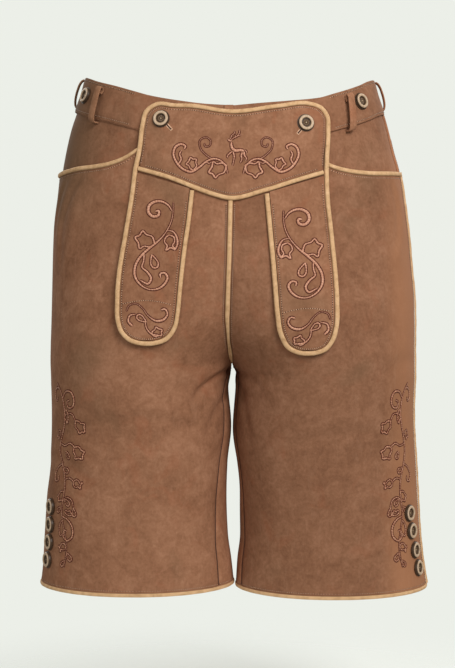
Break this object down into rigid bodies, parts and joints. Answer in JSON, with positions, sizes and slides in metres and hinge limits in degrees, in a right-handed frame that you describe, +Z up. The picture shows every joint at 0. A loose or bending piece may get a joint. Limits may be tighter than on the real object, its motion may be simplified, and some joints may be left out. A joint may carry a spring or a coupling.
{
  "type": "folk shorts",
  "caption": "Hollow knee-length folk shorts in worn form, with a drop-front flap and two tabs, bound seams, a waistband with belt loops, and round buttons.",
  "frame": {"origin": "centre of the waist opening, at the height of the waistband's sides, where the wearer's waist holds the shorts up", "axes": "+Z up, -Y to the front, +X to the wearer's left"},
  "size_m": [0.4337, 0.2708, 0.5697],
  "materials": {
    "suede": "matt imitation suede, mottled mid brown",
    "band_suede": "matt imitation suede, mottled darker brown",
    "edging": "matt pale tan suede binding",
    "horn": "horn look, satin rim round a dark centre",
    "thread": "satin-stitch embroidery thread, pinkish tan with a dark red-brown edge"
  },
  "bodies": {
    "root": {"front_right": "suede", "front_left": "suede", "back_right": "suede", "back_left": "suede", "pocket_facing_right": "band_suede", "pocket_facing_left": "band_suede", "waistband_right": "band_suede", "waistband_left": "band_suede", "flap_bib": "suede", "flap_tab_right": "suede", "flap_tab_left": "suede", "knife_pocket": "suede", "bib_edging": "edging", "flap_point_edging": "edging", "tab_edging_right": "edging", "tab_edging_left": "edging", "centre_piping": "edging", "pocket_edging_right": "edging", "pocket_edging_left": "edging", "side_piping_right": "edging", "side_piping_left": "edging", "hem_edging_right": "edging", "hem_edging_left": "edging", "knife_pocket_edging": "edging", "belt_loop_front_right": "band_suede", "belt_loop_front_left": "band_suede", "belt_loop_side_right": "band_suede", "belt_loop_side_left": "band_suede", "belt_loop_back": "band_suede", "button_bib_right": "horn", "button_bib_left": "horn", "button_band_right": "horn", "button_band_left": "horn", "button_hem_right_1": "horn", "button_hem_right_2": "horn", "button_hem_right_3": "horn", "button_hem_right_4": "horn", "button_hem_left_1": "horn", "button_hem_left_2": "horn", "button_hem_left_3": "horn", "button_hem_left_4": "horn"}
  },
  "joints": []
}
